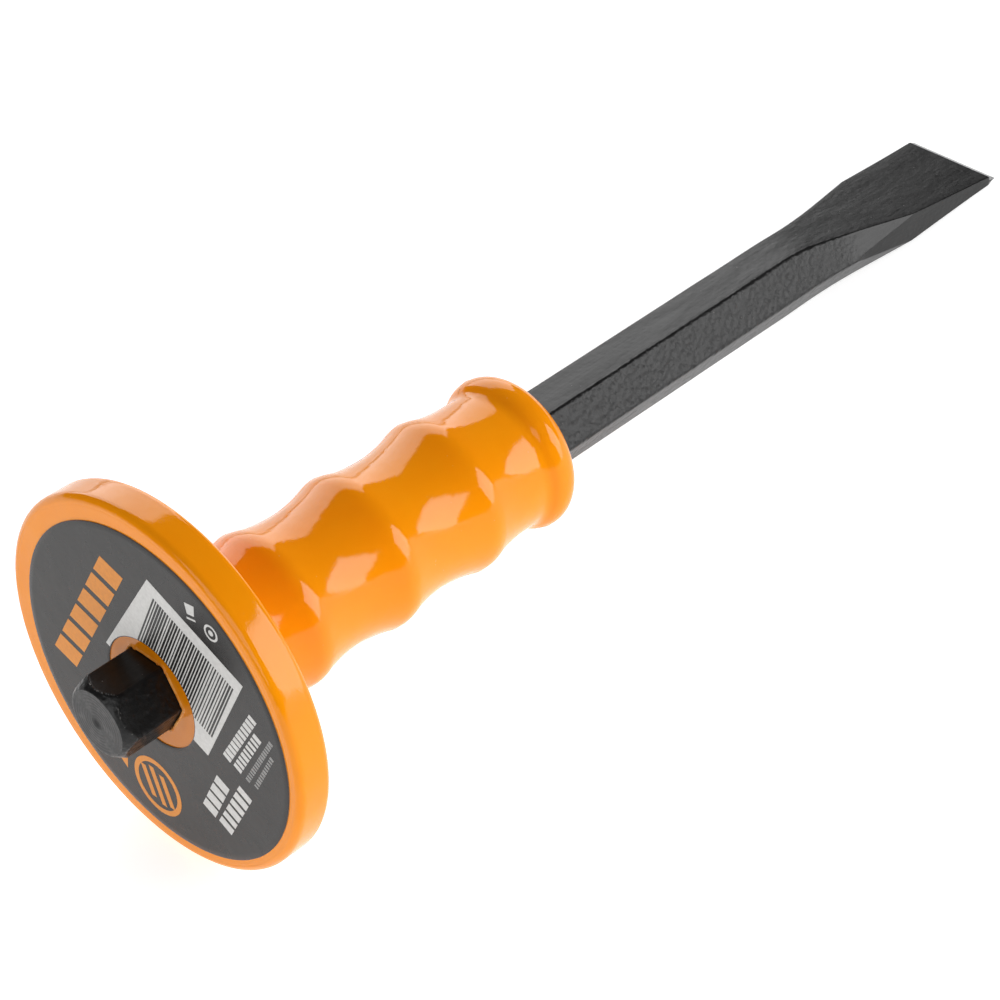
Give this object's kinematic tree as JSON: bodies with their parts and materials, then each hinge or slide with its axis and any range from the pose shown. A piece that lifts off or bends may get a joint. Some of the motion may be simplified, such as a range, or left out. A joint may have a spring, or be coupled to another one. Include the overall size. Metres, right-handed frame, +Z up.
{
  "type": "guarded cold chisel",
  "caption": "Flat cold chisel forged from hexagon bar, with a soft disc-shaped hand guard and a finger-grooved sleeve pushed on over its head end.",
  "frame": {"origin": "the tool lies at rest on its disc's rim and its blade; the origin is on the surface it rests on, below the middle of its bounding box", "axes": "+X from the struck head towards the cutting edge, seen from above; +Z up; the blade's flat side faces up and its edge is parallel to Y. The tool's own axis is tilted 9.43 degrees down towards the edge"},
  "size_m": [0.2974, 0.094, 0.0937],
  "materials": {
    "black_steel": "satin",
    "orange_guard": "gloss",
    "dark_label": "satin"
  },
  "bodies": {
    "root": {"chisel": "black_steel", "hand_guard": "orange_guard", "face_label": "dark_label"}
  },
  "joints": []
}
